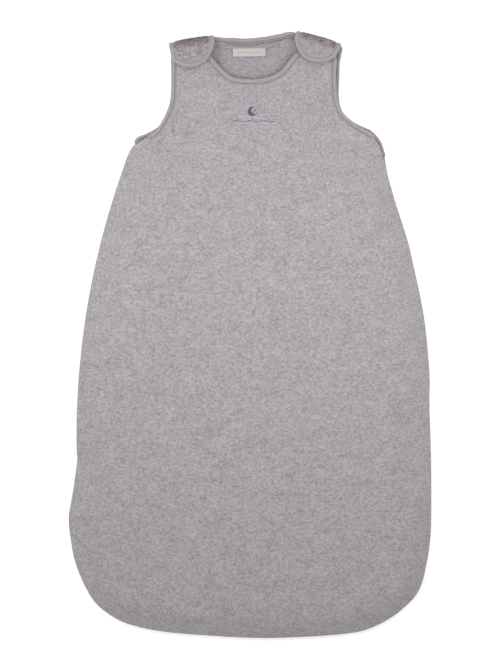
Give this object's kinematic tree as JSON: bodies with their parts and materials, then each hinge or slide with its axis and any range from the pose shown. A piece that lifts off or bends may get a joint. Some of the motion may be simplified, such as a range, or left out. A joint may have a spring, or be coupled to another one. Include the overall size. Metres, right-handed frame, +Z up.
{
  "type": "baby sleeping bag",
  "caption": "Sleeveless padded baby sleeping bag with a rounded foot, side zip and two folded shoulder tabs closed by poppers, lying flat on its back.",
  "frame": {"origin": "centre of the bag's footprint, on the surface it lies on", "axes": "+Y from the foot to the neck, +Z up out of the front panel, +X to the viewer's right, which is the baby's left side"},
  "size_m": [0.4179, 0.7001, 0.0209],
  "materials": {
    "velour": "heather grey cotton velour, soft and matt",
    "jersey": "heather grey cotton jersey, fine knit",
    "wadding": "white polyester wadding",
    "rib": "grey jersey binding, rolled and stitched",
    "plush": "taupe-grey plush with a curled pile",
    "woven": "cream woven label, blank",
    "thread": "dusky blue-violet embroidery thread",
    "zip_cloth": "grey woven tape",
    "zip_plastic": "grey nylon coil",
    "zip_metal": "grey painted die-cast metal",
    "popper_metal": "nickel-free pressed metal, satin"
  },
  "bodies": {
    "bag": {"back_outer": "velour", "back_padding": "wadding", "back_lining": "jersey", "front_outer": "velour", "front_padding": "wadding", "front_lining": "jersey", "front_neck_binding": "rib", "back_neck_binding": "rib", "front_armhole_binding_left": "rib", "front_armhole_binding_right": "rib", "back_armhole_binding_left": "rib", "back_armhole_binding_right": "rib", "neck_tape": "zip_cloth", "neck_label": "woven", "motif_moon": "thread", "motif_line": "thread", "strap_fold_left": "plush", "strap_fold_right": "plush", "popper_stud_left": "popper_metal", "popper_stud_right": "popper_metal", "popper_ring_left": "popper_metal", "popper_ring_right": "popper_metal", "zip_tape_front": "zip_cloth", "zip_tape_back": "zip_cloth", "zip_teeth_front": "zip_plastic", "zip_teeth_back": "zip_plastic", "zip_top_stop_front": "zip_metal", "zip_top_stop_back": "zip_metal", "zip_bottom_stop": "zip_metal", "zip_guard": "jersey"},
    "left_tab": {"tab_plush_left": "plush", "tab_lining_left": "jersey", "tab_binding_left": "rib", "popper_cap_left": "popper_metal", "popper_socket_left": "popper_metal"},
    "right_tab": {"tab_plush_right": "plush", "tab_lining_right": "jersey", "tab_binding_right": "rib", "popper_cap_right": "popper_metal", "popper_socket_right": "popper_metal"},
    "slider": {"zip_slider": "zip_metal"},
    "pull": {"zip_pull": "zip_metal"}
  },
  "joints": [
    {"name": "left_tab_fold", "type": "hinge", "parent": "bag", "child": "left_tab", "pos_m": [-0.0647, 0.3307, 0.0106], "axis": [-0.9886, -0.1504, 0], "range_deg": [0, 178], "deforming": ["strap_fold_left"]},
    {"name": "right_tab_fold", "type": "hinge", "parent": "bag", "child": "right_tab", "pos_m": [0.0765, 0.3329, 0.0106], "axis": [-0.9667, 0.2559, 0], "range_deg": [0, 178], "deforming": ["strap_fold_right"]},
    {"name": "zip_slide", "type": "hinge", "parent": "bag", "child": "slider", "pos_m": [0.7106, -0.1174, 0.0063], "axis": [0, 0, 1], "range_deg": [0, 19.2]},
    {"name": "pull_swing", "type": "hinge", "parent": "slider", "child": "pull", "pos_m": [-0.14278, 0.196, 0.0063], "axis": [0, 0, -1], "range_deg": [0, 120]}
  ]
}
